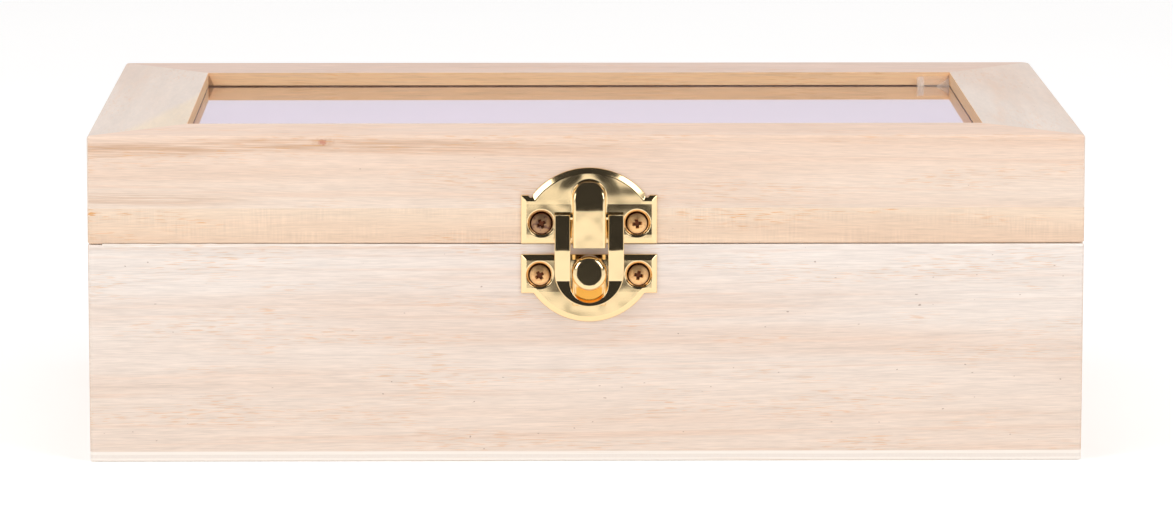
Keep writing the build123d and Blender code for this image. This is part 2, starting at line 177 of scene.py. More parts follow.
class LatchSizes(bpy.types.PropertyGroup):
    plate_rise: length("Plate rise", "Height of the plates' field over the wood", 1.3)
    plate_side: length("Plate side", "Height of the plates' upright outer edge", 0.45)
    plate_rim: length("Plate rim", "Width of the slope round the plates", 1.25)
    plate_round: length("Plate rounding", "Softness of the plates' pressed edges", 0.16)
    upper_arc_radius: length("Upper arc", "Radius of the upper plate's round top", 17.3)
    upper_arc_height: length("Upper arc height", "Height of that arc's middle over the seam", 1.3)
    upper_ear_top: length("Upper ear", "Height of the upper plate's ears over the seam", 11.925)
    notch_radius: length("Notch", "Radius of the nicks between the ears and the arc", 0.6)
    lower_arc_radius: length("Lower arc", "Radius of the lower plate's round foot", 16.3)
    lower_arc_drop: length("Lower arc drop", "Depth of that arc's middle under the seam", 2.6)
    lower_ear_drop: length("Lower ear", "Depth of the lower plate's ears under the seam", 11.95)
    loop_width: length("Loop width", "Width of the raised loop", 8.0)
    loop_rise: length("Loop rise", "Height of the raised loop over the wood", 4.9)
    loop_sheet: length("Loop sheet", "Thickness of the raised loop", 0.7)
    loop_drop: length("Loop drop", "How far the loop reaches below the seam", 0.35)
    loop_shoulder: length("Loop shoulder", "Height where the loop starts to fall back", 8.5)
    loop_top: length("Loop top", "Height of the loop's round end over the seam", 15.5)
    loop_brow: length("Loop brow", "Height of the loop's round end over the wood", 2.0)
    loop_edge: length("Loop edge", "Radius along the loop's front", 0.95)
    loop_foot: length("Loop foot", "Radius where the loop leaves the plate", 0.5)
    hasp_slot: length("Hasp slot", "Width of the hasp's slot", 9.06)
    hasp_sheet: length("Hasp sheet", "Thickness of the hasp", 0.8)
    hasp_front: length("Hasp front", "Height of the hasp's front over the wood", 4.3)
    hasp_bend: length("Hasp bend", "Depth of the hasp's upper bend under the seam", 0.75)
    hasp_bend_radius: length("Hasp bend radius", "Radius of the hasp's upper bend", 8.0)
    hasp_crease: length("Hasp crease", "Depth of the hasp's crease under the seam", 8.5)
    hasp_crease_radius: length("Hasp crease radius", "Radius of the hasp's crease", 1.2)
    hasp_top: length("Hasp top", "Height of the hasp's sheet over its bar's line", 0.7)
    hasp_foot_bar: length("Hasp foot bar", "Width of the hasp under its slot", 1.05)
    hasp_edge: length("Hasp edge", "Radius along the hasp's front edges", 0.25)
    hasp_lean: angle("Hasp lean", "How far the hasp leans back above its bend", 7.1)
    hasp_lip: angle("Hasp lip", "How far the hasp's foot stands out below its crease", 11.5)
    bar_radius: length("Bar", "Radius of the bar that turns in the loop", 0.8)
    bar_gap: length("Bar gap", "Gap between the bar and its holes in the loop", 0.06)
    knuckle_radius: length("Knuckle", "Radius of the hasp's rolled ends", 0.9)
    knuckle_edge: length("Knuckle edge", "Radius round the faces of those ends", 0.18)
    pivot_height: length("Pivot height", "Height of the bar's line over the seam", 6.85)
    pivot_rise: length("Pivot rise", "Height of the bar's line over the wood", 2.4)
    knob_width: length("Knob width", "Width of the catch's knob", 8.44)
    knob_bottom: length("Knob bottom", "Depth of the knob's bottom under the seam", 10.85)
    knob_rise: length("Knob rise", "Height of the knob over the wood", 5.6)
    knob_edge: length("Knob edge", "Radius round the knob's face", 1.65)
    knob_lean: amount("Knob lean", "Share of its rise that the knob loses towards its top", 0.26)
    strap_width: length("Strap width", "Width of the strap that carries the knob", 8.0)
    strap_rise: length("Strap rise", "Height of the strap over the wood", 2.7)
    strap_edge: length("Strap edge", "Radius along the strap's front", 0.6)
    strap_bottom: length("Strap bottom", "Depth of the strap's end under the seam", 14.75)
    dimple_radius: length("Dimples", "Radius of the dimples round the screws", 3.35)
    dimple_slope: angle("Dimple slope", "How steep the dimples' walls are", 44.0)
    dimple_lift: length("Dimple lift", "Height of the dimples over the screws' middles", 0.15)
    dimple_lip: length("Dimple lip", "Width of the softer lip round the dimples", 0.18)


class ScrewSizes(bpy.types.PropertyGroup):
    latch_head: length("Latch screw head", "Radius of the latch screws' heads", 2.42)
    latch_dome: length("Latch screw dome", "Height of the latch screws' domes", 0.4)
    latch_shank: length("Latch screw shank", "Radius of the latch screws' shanks", 1.2)
    latch_length: length("Latch screw length", "Length of the latch screws under the rim", 7.2)
    latch_rim: length("Latch screw rim", "Height of the heads' rims over the wood", 0.8)
    hinge_head: length("Hinge screw head", "Radius of the hinge screws' heads", 1.9)
    hinge_dome: length("Hinge screw dome", "Height of the hinge screws' domes", 0.35)
    hinge_shank: length("Hinge screw shank", "Radius of the hinge screws' shanks", 0.9)
    hinge_length: length("Hinge screw length", "Length of the hinge screws under the rim", 6.6)
    hinge_rim: length("Hinge screw rim", "Height of those heads' rims over the wood", 1.0)
    hinge_spread: length("Hinge screw spread", "From a hinge's middle to its screws", 7.2)
    hinge_height: length("Hinge screw height", "From the seam to the hinges' screws", 6.4)


class MetalLook(bpy.types.PropertyGroup):
    brass: tint("Brass", "Colour of the polished brass", 250, 222, 172)
    # Painted reflection: the deeper gold of the knob mirrored in the strap under it
    knob_reflection_gold: tint("Deep gold", "Colour of the strap's middle under the knob", 238, 172, 78)
    hinge_brass: tint("Hinge brass", "Colour of the hinges", 218, 181, 120)
    hinge_stain: tint("Hinge stain", "Colour of the stains on the hinges", 158, 116, 68)
    copper: tint("Screws", "Colour of the latch's screws", 255, 205, 145)
    aged: tint("Aged screw", "Colour of the darkened screw", 186, 146, 110)
    aged_stain: tint("Aged screw stain", "Colour of the darkened screw's stains", 110, 78, 74)
    hinge_screw: tint("Hinge screws", "Colour of the hinge screws", 204, 166, 116)
    screw_stain: tint("Screw stain", "Colour of the stains on the other screws", 190, 128, 84)
    # Painted shade: the colour that darkens the screws' recesses and the ring round their heads
    recess_shade_tint: tint("Dirt", "Colour of the dirt in the screws' recesses", 118, 70, 48)
    leaf_edge: length("Hinge edge", "Softness of the hinges' edges", 0.14)


class WindowLook(bpy.types.PropertyGroup):
    pane: tint("Pane", "Colour that the pane gives to what is seen through it", 246, 243, 249)
    haze: tint("Haze", "Colour of the film on the pane", 232, 200, 238)
    haze_amount: amount("Haze amount", "How much of the light the film scatters", 0.11)
    # Also the colour of the painted highlight along the film's free end
    film: tint("Loose film", "Colour of the film where it came loose", 255, 240, 227)
    film_width: length("Film width", "Width of the film's loose corner", 8.6)
    film_height: length("Film height", "Height of the film's loose corner", 2.5)
    film_sheet: length("Film thickness", "Thickness of the loose film", 0.04)


class StageSetup(bpy.types.PropertyGroup):
    camera_place: FloatVectorProperty(
        name="Camera place", description="Where the camera stands", size=3,
        default=(-0.02126, -1.45069, 0.25912), subtype="XYZ", unit="LENGTH", precision=5)
    camera_turn: angle("Camera turn", "How far the camera turns right of straight ahead", 0.885)
    camera_tilt: angle("Camera tilt", "How far the camera looks down", 8.728)
    camera_roll: angle("Camera roll", "How far the camera leans over", 0.044)
    focal_length: FloatProperty(name="Focal length", description="The camera's focal length",
                                default=177.33, min=1.0, subtype="DISTANCE_CAMERA", unit="CAMERA")
    floor: tint("Floor", "Colour of the floor", 246, 245, 244)
    floor_front: length("Floor front", "How far the floor reaches in front of the box", 640)
    floor_glow: amount("Floor glow", "Light that the floor adds for camera and mirrors", 0.19)
    room_light: amount("Room light", "Brightness of the light from all round", 0.76)
    dark_side: amount("Dark side", "What polished metal mirrors of the room in front", 0.035)
    sweep: tint("Sweep", "Colour of the sweep behind the box in mirrors", 237, 230, 240)
    softbox_power: power("Softbox power", "Power of each side softbox", 3.3)
    fill_power: power("Fill power", "Power of the fill light overhead", 5.5)


# Modelling

def work_on(piece):
    """Makes a piece the only selected and the active object."""
    bpy.ops.object.select_all(action="DESELECT")
    piece.select_set(True)
    bpy.context.view_layer.objects.active = piece


def settle(piece, place=None):
    """Writes a piece's place, turn and size into its mesh, after a move if a place is given."""
    work_on(piece)
    if place is not None:
        piece.matrix_world = place
    bpy.ops.object.transform_apply(location=True, rotation=True, scale=True)
    return piece


@contextmanager
def editing(piece, kind="EDGE"):
    """Edit mode on a piece, with nothing selected."""
    work_on(piece)
    bpy.ops.object.mode_set(mode="EDIT")
    bpy.ops.mesh.select_mode(type=kind)
    bpy.ops.mesh.select_all(action="DESELECT")
    yield
    bpy.ops.object.mode_set(mode="OBJECT")


def select_only(piece, kind, test):
    """In edit mode, selects only the vertices, edges or faces that pass a test."""
    mesh = bmesh.from_edit_mesh(piece.data)
    chosen = [element for element in getattr(mesh, kind) if test(element)]
    bpy.ops.mesh.select_all(action="DESELECT")
    mesh = bmesh.from_edit_mesh(piece.data)
    for element in chosen:
        element.select_set(True)
    mesh.select_flush_mode()
    bmesh.update_edit_mesh(piece.data)


def middle_of(edge):
    return (edge.verts[0].co + edge.verts[1].co) / 2


def looks_up(face):
    return face.normal.z > 0.999


def level(height):
    """A test for edges that lie flat at one rise over the wood."""
    return lambda edge: all(abs(vertex.co.z - height) < NEAR for vertex in edge.verts)


def sharper_than(degrees):
    """A test for edges whose two faces meet at more than an angle."""
    least = math.radians(degrees)
    return lambda edge: len(edge.link_faces) == 2 and edge.calc_face_angle(0) > least


def new_piece(name):
    """Names the primitive that was just added."""
    piece = bpy.context.active_object
    piece.name = name
    return settle(piece)


def add_block(name, low, high):
    middle = [(a + b) / 2 for a, b in zip(low, high)]
    size = [b - a for a, b in zip(low, high)]
    bpy.ops.mesh.primitive_cube_add(size=1, location=middle, scale=size)
    return new_piece(name)


def add_disc(name, radius, centre, bottom, top, sides=96):
    """A round slab about a line along z."""
    bpy.ops.mesh.primitive_cylinder_add(vertices=sides, radius=radius, depth=top - bottom,
                                        location=(*centre, (bottom + top) / 2))
    return new_piece(name)


def add_rod(name, radius, low_x, high_x, height, rise):
    """A round rod along x."""
    bpy.ops.mesh.primitive_cylinder_add(vertices=48, radius=radius, depth=high_x - low_x,
                                        location=((low_x + high_x) / 2, height, rise),
                                        rotation=(0, math.pi / 2, 0))
    return new_piece(name)


def add_cone(name, low_radius, high_radius, centre, bottom, top):
    """A round slab about a line along z that widens upwards."""
    bpy.ops.mesh.primitive_cone_add(vertices=72, radius1=low_radius, radius2=high_radius,
                                    depth=top - bottom, location=(*centre, (bottom + top) / 2))
    return new_piece(name)


def combine(piece, other, operation="UNION"):
    """Joins another mesh to a piece or cuts it away, and removes the other."""
    modifier = piece.modifiers.new("combine", "BOOLEAN")
    modifier.operation = operation
    modifier.solver = "EXACT"
    modifier.object = other
    work_on(piece)
    bpy.ops.object.modifier_apply(modifier=modifier.name)
    bpy.data.objects.remove(other)
    return piece


def merge_flat_faces(piece):
    """Makes one face of those that lie in one plane, and keeps the steps of round edges."""
    with editing(piece):
        bpy.ops.mesh.select_all(action="SELECT")
        bpy.ops.mesh.remove_doubles(threshold=MERGE)
        bpy.ops.mesh.dissolve_limited(angle_limit=math.radians(0.2))


def add_slab(name, half_width, low, high, bottom, top, low_round=False, high_round=False):
    """A slab with straight sides along y, and a half circle at one end or at both."""
    straight_low = low + half_width if low_round else low
    straight_high = high - half_width if high_round else high
    slab = add_block(name, (-half_width, straight_low, bottom), (half_width, straight_high, top))
    for is_round, end in ((low_round, straight_low), (high_round, straight_high)):
        if is_round:
            combine(slab, add_disc("end", half_width, (0, end), bottom, top))
    merge_flat_faces(slab)
    return slab


def bevel(piece, test, width, segments, clamp=False):
    """Bevels the edges that pass a test."""
    with editing(piece):
        select_only(piece, "edges", test)
        bpy.ops.mesh.bevel(offset=width, offset_type="OFFSET", segments=segments, affect="EDGES",
                           clamp_overlap=clamp)


def cut_away(piece, point, direction):
    """Cuts a piece at a plane and removes what lies on the side that direction points to."""
    with editing(piece, "FACE"):
        bpy.ops.mesh.select_all(action="SELECT")
        bpy.ops.mesh.bisect(plane_co=point, plane_no=direction, clear_outer=True, use_fill=True)


def cut_rows(piece, heights, test=lambda face: True):
    """Cuts the faces that pass a test across at each height, so that they can bend there."""
    with editing(piece, "FACE"):
        for height in heights:
            select_only(piece, "faces", test)
            bpy.ops.mesh.bisect(plane_co=(0, height, 0), plane_no=(0, 1, 0), threshold=MERGE)


def row_heights(piece, low, high, test=lambda vertex: True):
    """The heights of the vertices between two heights that pass a test."""
    return sorted({round(vertex.co.y, 3) for vertex in piece.data.vertices
                   if low < vertex.co.y < high and test(vertex)})


def cut_face_rows(piece, rise, low, high):
    """Cuts the flat face at one rise across at each of its corners between two heights."""
    corners = row_heights(piece, low, high, lambda vertex: abs(vertex.co.z - rise) < NEAR)
    cut_rows(piece, corners, lambda face: looks_up(face)
             and abs(face.calc_center_median().z - rise) < NEAR)


def press_rows(piece, low, high, share, foot):
    """Presses each row of vertices between two heights to a share of its rise over the foot."""
    with editing(piece, "VERT"):
        for height in row_heights(piece, low, high):
            select_only(piece, "verts", lambda vertex: round(vertex.co.y, 3) == height)
            bpy.ops.transform.resize(value=(1, 1, share(height)),
                                     center_override=(0, height, foot))


def bend(piece, height, rise, turn, radius, beyond, count=6):
    """Bends sheet about a line along x. What lies beyond a height, above it for 1 and below it
    for -1, comes forward by the turn."""
    reach = radius * math.tan(abs(turn) / 2)
    spacing = 2 * reach / (count - 1)
    rows = [height + beyond * (i * spacing - reach) for i in range(count)]
    cut_rows(piece, rows)
    fold = Vector((0, rows[0], rise))
    with editing(piece, "VERT"):
        vertices = bmesh.from_edit_mesh(piece.data).verts
        beyond_row = [{vertex.index for vertex in vertices if beyond * (vertex.co.y - row) > NEAR}
                      for row in rows]
        for i, moving in enumerate(beyond_row):
            select_only(piece, "verts", lambda vertex: vertex.index in moving)
            # Without a window the operator turns the other way round
            bpy.ops.transform.rotate(value=-beyond * turn / count, orient_axis="X",
                                     center_override=fold)
            turned = turn * (i + 1) / count
            fold += Vector((0, beyond * math.cos(turned), math.sin(turned))) * spacing


def even_shading(piece, degrees):
    """Smooth shading up to an angle, with flat faces kept flat beside their rounded edges."""
    with editing(piece):
        bpy.ops.mesh.select_all(action="SELECT")
        bpy.ops.mesh.normals_make_consistent(inside=False)
    work_on(piece)
    bpy.ops.object.shade_smooth_by_angle(angle=math.radians(degrees))
    modifier = piece.modifiers.new("even", "WEIGHTED_NORMAL")
    modifier.keep_sharp = True
    modifier.weight = 100
    bpy.ops.object.modifier_apply(modifier=modifier.name)


def put_on(piece, place, body, slot, material, *nodes):
    """Moves a finished piece to its face of the box, on its body, in place of its nodes."""
    settle(piece, place)
    piece.data.materials.clear()
    piece.data.materials.append(material)
    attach(piece, body)
    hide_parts(*nodes)


def copy_of(piece, name):
    copy = bpy.data.objects.new(name, piece.data.copy())
    bpy.context.scene.collection.objects.link(copy)
    return copy


def steps(low, high, count):
    return [low + (high - low) * i / count for i in range(count + 1)]


# Shading

class Value:
    """A shader socket on which Python's operators add Math nodes."""

    def __init__(self, finish, socket):
        self.finish = finish
        self.socket = socket

    def __add__(self, other):
        return self.finish.math("ADD", self, other)

    def __sub__(self, other):
        return self.finish.math("SUBTRACT", self, other)

    def __rsub__(self, other):
        return self.finish.math("SUBTRACT", other, self)

    def __mul__(self, other):
        return self.finish.math("MULTIPLY", self, other)

    def __truediv__(self, other):
        return self.finish.math("DIVIDE", self, other)

    __radd__ = __add__
    __rmul__ = __mul__

    def size(self):
        """Its distance from zero."""
        return self.finish.math("ABSOLUTE", self)

    def root(self):
        return self.finish.math("SQRT", self)

    def or_more(self, other):
        """The larger of it and another value."""
        return self.finish.math("MAXIMUM", self, other)

    def between(self, low, high):
        """0 at low, 1 at high and a smooth step between."""
        return self.finish.node("MapRange", {"interpolation_type": "SMOOTHSTEP"},
                                {0: self, 1: low, 2: high})

    def ramp(self, low, high):
        """0 up to low, 1 from high and a straight slope between."""
        return self.finish.node("MapRange", None, {0: self, 1: low, 2: high})


class Finish:
    """A material's or a world's node tree, with the methods that build it."""

    def __init__(self, owner):
        owner.use_nodes = True
        self.owner = owner
        self.tree = owner.node_tree
        self.tree.nodes.clear()

    def node(self, kind, settings=None, sockets=None, output=0):
        """Adds a node: first its settings, then the values or links of its sockets."""
        node = self.tree.nodes.new("ShaderNode" + kind)
        for key, value in (settings or {}).items():
            setattr(node, key, value)
        for key, value in (sockets or {}).items():
            if isinstance(value, Value):
                self.tree.links.new(value.socket, node.inputs[key])
            else:
                node.inputs[key].default_value = value
        return Value(self, node.outputs[output]) if node.outputs else None

    def math(self, operation, *operands):
        return self.node("Math", {"operation": operation}, dict(enumerate(operands)))

    def vector(self, operation, *operands):
        return self.node("VectorMath", {"operation": operation}, dict(enumerate(operands)))

    def place(self):
        """Where a point of the piece is, in metres."""
        return self.node("TexCoord", output="Object")

    def parts_of(self, vector):
        """The x, y and z of a vector."""
        return [self.node("SeparateXYZ", None, {0: vector}, output=i) for i in range(3)]

    def mix(self, share, first, second):
        """Two colours mixed by a share from 0 to 1."""
        first, second = (c if isinstance(c, Value) else (*c, 1.0) for c in (first, second))
        return self.node("Mix", {"data_type": "RGBA"}, {0: share, 6: first, 7: second}, output=2)

    def scaled(self, vector, factor):
        """A colour or a place times a number."""
        return self.node("VectorMath", {"operation": "SCALE"}, {0: vector, "Scale": factor})

    def relief(self, height, strength, distance):
        """The surface's normal with a relief, whose heights are in shares of a distance."""
        return self.node("Bump", None, {"Height": height, "Strength": strength,
                                        "Distance": distance})

    def ray(self, kind):
        return self.node("LightPath", output=f"Is {kind} Ray")

    def seen_or_mirrored(self):
        """1 for rays from the camera, from mirrors and through glass, and 0 for plain light."""
        return self.ray("Camera") + self.ray("Glossy") + self.ray("Transmission")

    def done(self, shader, kind="OutputMaterial"):
        self.node(kind, None, {"Surface": shader})
        return self.owner


def new_finish(name):
    return Finish(bpy.data.materials.new(name))


class Grain(Finish):
    """Wood whose grain runs along x or y. Lengths are in millimetres along the grain, into the
    board and across the grain."""

    def __init__(self, name, run, seed, lean=0.0):
        super().__init__(bpy.data.materials.new(name))
        self.run = run
        self.seed = seed
        place = self.place()
        self.x, self.y, self.z = self.parts_of(self.scaled(place, 1 / MM))
        turn = (0.0, lean, 0.0) if run == "x" else (lean, 0.0, 0.0)
        self.where = self.node("Mapping", None, {"Vector": place, "Rotation": turn})
        wander = (self.noise(260, 60, 30, shift=0.3, detail=1.0) - 0.5) * (5 * MM)
        self.where = self.vector("ADD", self.where, self.node("CombineXYZ", None, {2: wander}))

    def noise(self, along, depth, across, shift, detail=2.0, roughness=0.5):
        """Noise of three lengths. Another seed or shift takes it from elsewhere."""
        lengths = (along, depth, across) if self.run == "x" else (depth, along, across)
        scale = [1 / (size * MM) for size in lengths]
        start = (self.seed + shift) * 3.7
        scaled = self.vector("MULTIPLY_ADD", self.where, scale, (start, start * 0.6, start * 1.3))
        return self.node("TexNoise", None, {"Vector": scaled, "Scale": 1.0, "Detail": detail,
                                            "Roughness": roughness})

    def along(self):
        return self.x if self.run == "x" else self.y

    def wood(self, skin, roughness, relief, strength):
        """The finished wood, with a relief of a tenth of a millimetre."""
        return self.done(self.node("BsdfPrincipled", None, {
            "Base Color": skin, "Roughness": roughness,
            "Normal": self.relief(relief, strength, 0.1 * MM), "Specular IOR Level": 0.3}))


# Marks in the wood. Each adds itself to a board's colour, its skin.

def growth_band(height, slope, half_width, strength, fade):
    """A broad streaky brown band that runs along a board at a height that changes with the slope.
    It fades between two places along the board."""
    def mark(grain, look, skin):
        ragged = (grain.noise(70, 40, 12, shift=height) - 0.5) * (2.6 * half_width)
        offset = (grain.z - height - grain.along() * slope + ragged) / half_width
        streaks = grain.noise(22, 4, 0.42, shift=4.4, roughness=0.6).between(0.34, 0.58)
        share = (1 - offset.size().between(0.1, 1.0)) * (1 - grain.along().between(*fade))
        return grain.mix(share * streaks * strength, skin, look.band)
    return mark


def knot(x, z):
    """A small reddish pin knot with a smear of brown beside it."""
    def mark(grain, look, skin):
        ragged = (grain.noise(0.8, 0.8, 0.45, shift=3.1, detail=3.0) - 0.5) * 4.0
        across, up = grain.x - x, grain.z - z
        smear = (across / 3.4) * (across / 3.4) + up * up / 1.4 + ragged * 0.4
        core = across * across * 0.8 + up * up * 2.4 + ragged
        skin = grain.mix((1 - smear.between(0.1, 1.1)) * 0.5, skin, look.band)
        return grain.mix((1 - core.between(0.0, 1.6)) * 0.7, skin, look.knot)
    return mark


def wedge(grain, look, skin):
    """A yellower wedge on the left rail, from a tip near the front mitre to the window."""
    tip_x, tip_y, slant, soft = -109.5, -59.5, 0.2, 2.2
    ragged = (grain.noise(20, 5, 20, shift=9.1) - 0.5) * 3.0
    inside = grain.x - tip_x - (grain.y - tip_y) * slant + ragged
    return grain.mix(inside.between(-soft, soft) * 0.5, skin, look.wedge)


def saw_marks(grain, look, skin):
    """Patches of fine upright marks left by a saw across the grain."""
    teeth = grain.noise(0.5, 5, 7, shift=31.7, detail=1.0) - 0.5
    patches = grain.noise(17, 8, 4.5, shift=12.4).between(0.4, 0.62)
    return grain.scaled(skin, 1 + teeth * patches * 0.2)


def torn_edge(grain, look, skin):
    """Pale torn fibres along the upper edge of the base."""
    ragged = grain.noise(15, 8, 4, shift=6.6, detail=3.0, roughness=0.65) * 1.8
    sliver = (grain.z - base_top / MM + ragged).between(0.45, 0.65)
    return grain.mix(sliver * 0.7, skin, look.torn_edge)


def sawn_inside_with_corner_shadow(grain, look, skin):
    """The warmer sawn faces of the frame round the window, with painted shadow in its corners."""
    past_side = grain.x.size() - window_right / MM
    past_rear = grain.y.size() - window_rear / MM
    sawn = (1 - past_side.between(0.02, 0.15)) * (1 - past_rear.between(0.02, 0.15))
    streaks = grain.noise(26, 2, 0.7, shift=17.1, roughness=0.6)
    skin = grain.mix(sawn * (0.62 + 0.5 * streaks), skin, look.cut_face)
    if grain.run == "y":
        return skin
    # Painted shadow: a dark triangle in each corner of the window, as a side rail's edge would
    # cast it
    below = lid_top / MM - grain.z
    corner = (past_side + below * 0.45).between(-0.15, 0.3)
    return grain.mix(corner * sawn * below.between(0.1, 1.2) * 0.6, skin, look.stain)


def end_grain(grain, look, skin):
    """The sawn ends of the boards that run the full width."""
    end = (grain.x.size() - box_high.x / MM).between(-0.3, -0.1)
    rings = grain.noise(9, 0.5, 1.8, shift=23.9, detail=3.0, roughness=0.6)
    return grain.mix(end * rings * 0.9, skin, look.band)


def bare_wood(name, run, low, high, seed, colours, look, marks=(), lean=0.0, open_pores=0.4):
    """Planed and sanded pale wood. low and high are heights on the board in metres, and colours
    those that it has there."""
    grain = Grain(name, run, seed, lean)
    lengthwise = run == "x"
    clouds = grain.noise(160, 30, 10, shift=1.7).between(0.42, 0.7)
    streak = grain.noise(42, 5, 1.3, shift=2.9, detail=3.0, roughness=0.6)
    fibre = grain.noise(7, 0.9, 0.34, shift=4.3, roughness=0.7)
    lines = grain.noise(300, 9, 2.4, shift=5.9, roughness=0.6).between(0.53, 0.68)
    clusters = grain.noise(38, 12, 7, shift=6.8).between(0.46, 0.64)
    pores = grain.noise(4.6, 0.6, 0.23, shift=7.7, detail=1.0).between(0.56, 0.68) * clusters
    specks = grain.noise(1.1, 0.7, 0.5, shift=8.8, detail=0.0).between(0.88, 0.92)
    skin = grain.mix(grain.z.between(low / MM, high / MM), *colours)
    skin = grain.mix(clouds * 0.32, skin, look.growth)
    skin = grain.mix(lines * streak.between(0.35, 0.65) * 0.36, skin, look.growth)
    for mark in marks:
        skin = mark(grain, look, skin)
    skin = grain.mix(pores * (open_pores if lengthwise else 0.15), skin, look.vessel)
    skin = grain.mix(specks * 0.6, skin, look.speck)
    contrast = look.fibre_contrast * (1.0 if lengthwise else 0.4)
    skin = grain.scaled(skin, 1.02 + (streak - 0.5) * 0.2 + (fibre - 0.5) * contrast)
    relief = fibre * 0.6 + streak * 0.4 - pores * 0.6
    return grain.wood(skin, 0.6 + (fibre - 0.5) * 0.3, relief, 0.4)


def plywood(name, look):
    """Three thin layers seen from the side, with the outer ones running along the box."""
    grain = Grain(name, "x", seed=41.3)
    fibre = grain.noise(12, 0.3, 0.2, shift=1.1, roughness=0.6)
    streak = grain.noise(50, 1.6, 1.0, shift=2.2, roughness=0.6).between(0.5, 0.75)
    core_fibre = grain.noise(0.5, 20, 0.6, shift=3.3)
    layer = panel_top / MM / 3
    wavy = grain.z + (grain.noise(30, 30, 30, shift=5.5) - 0.5) * 0.25
    core = 1 - (wavy - 1.5 * layer).size().between(0.42 * layer, 0.58 * layer)
    outer = grain.scaled(grain.mix(streak * 0.3, look.ply, look.growth),
                           1 + (fibre - 0.5) * 0.14)
    inner = grain.scaled(grain.mix(core_fibre * 0.18, look.ply_core, look.growth), 0.98)
    gap = 1 - (grain.z - panel_top / MM + 0.05).size().between(0.02, 0.12)
    normal = grain.node("NewGeometry", output="Normal")
    upright = 1 - grain.parts_of(normal)[2].size().between(0.2, 0.6)
    skin = grain.mix(core * upright, outer, inner)
    skin = grain.mix(gap * upright * 0.35, skin, look.band)
    return grain.wood(skin, 0.62 + (fibre - 0.5) * 0.2, fibre, 0.3)


def metal(name, colour, roughness, wave, stain=None, stain_amount=0.0, pressed=None, patch=None):
    """Polished metal whose surface is a little wavy, with faint marks and, if asked, stains. From
    the millimetres on the front face, pressed gives the height of stamped sheet. A patch is the
    share of another colour, from the same millimetres, and that colour."""
    finish = new_finish(name)
    place = finish.place()

    def noise(size, detail, shift):
        scaled = finish.vector("MULTIPLY_ADD", place, [1 / (size * MM)] * 3, [shift] * 3)
        return finish.node("TexNoise", None, {"Vector": scaled, "Scale": 1.0, "Detail": detail})

    x, depth, height = finish.parts_of(place)
    on_face = ((x - latch_middle) / MM, (height - seam_height) / MM, (box_low.y - depth) / MM)
    cloud = noise(2.4, detail=3.0, shift=4.2)
    skin = finish.scaled((*colour,), 0.97 + cloud * 0.06)
    if stain_amount:
        stained = noise(0.9, detail=3.0, shift=8.1).between(0.48, 0.66)
        skin = finish.mix(stained * stain_amount, skin, stain)
    if patch:
        share, patch_colour = patch
        skin = finish.mix(share(*on_face), skin, patch_colour)
    scratches = noise(0.25, detail=2.0, shift=2.4) * 0.004
    lift = (noise(7.0, detail=1.0, shift=1.3) + scratches) * wave
    if pressed:
        lift = lift + pressed(*on_face)
    return finish.done(finish.node("BsdfPrincipled", None, {
        "Base Color": skin, "Metallic": 1.0, "Roughness": roughness + (cloud - 0.5) * 0.06,
        "Normal": finish.relief(lift, 1.0, MM)}))


# Heights of pressed sheet and shares of colour, from x along the front face, y over the seam and
# z over the wood, in millimetres

def over_field(z):
    """1 for what stands over the plates' field."""
    return z.between(1.4, 2.2)


def upper_press(x, y, z):
    """The upper plate's ears lean back from its arch, which swells round the top of the loop."""
    loop_centre = 11.5
    ears = y.ramp(2.4, 9.8) * (0.12 + x.between(-9.0, 9.0) * 0.22)
    above = (y - loop_centre).or_more(0.0)
    reach = (x * x + above * above).root()
    swell = (1 - reach.between(4.2, 7.8)) * x.size().between(0.8, 3.6) * 0.2
    return (swell - ears) * (1 - over_field(z))


def lower_press(x, y, z):
    """The lower plate leans back, most between its ears."""
    lean = y.ramp(-17.5, -11.5) * 0.17 + y.ramp(-11.5, -2.4) * 0.4
    return lean * (over_field(z) - 1)


def painted_recess_shade(x, y, z):
    """Painted shade in the recesses of the latch's screws and round their heads."""
    return 1 - z.between(0.62, 1.0)


def painted_rear_recess_shade(x, y, z):
    """Painted shade in the recesses of the hinges' screws."""
    rear_rise = (box_low.y - box_high.y) / MM - z
    return 1 - rear_rise.between(0.8, 1.12)


def painted_knob_reflection(x, y, z):
    """Painted reflection: the deeper gold that the knob mirrors into the strap's middle under it.
    """
    across = 1 - x.size().between(2.9, 3.5)
    up = y.between(-14.8, -14.2) * (1 - y.between(-10.4, -9.6))
    out = z.between(2.0, 2.3) * (1 - z.between(2.9, 3.3))
    return across * up * out


def metal_finish(name):
    """One of the metal finishes, made the first time that it is asked for."""
    if name in bpy.data.materials:
        return bpy.data.materials[name]
    look = bpy.context.scene.box_metal
    plate = {"colour": look.brass, "roughness": 0.14, "wave": 0.22}
    # The screws' patch is painted shade in their recesses
    front_screw = {"roughness": 0.4, "wave": 0.1, "patch": (painted_recess_shade, look.recess_shade_tint)}
    rear_screw = front_screw | {"patch": (painted_rear_recess_shade, look.recess_shade_tint)}
    stained = {"stain": look.screw_stain, "stain_amount": 0.35}
    finishes = {
        "upper plate brass": plate | {"pressed": upper_press},
        # The lower plate's patch is a painted reflection of the knob in the strap
        "lower plate brass": plate | {"pressed": lower_press,
                                      "patch": (painted_knob_reflection, look.knob_reflection_gold)},
        "hasp brass": plate | {"roughness": 0.11, "wave": 0.2},
        "hinge brass": {"colour": look.hinge_brass, "roughness": 0.24, "wave": 0.2,
                        "stain": look.hinge_stain, "stain_amount": 0.5},
        "aged screw": front_screw | {"colour": look.aged, "stain": look.aged_stain,
                                     "stain_amount": 0.8},
        "copper screw": front_screw | stained | {"colour": look.copper},
        "hinge screw": rear_screw | stained | {"colour": look.hinge_screw},
    }
    return metal(name, **finishes[name])


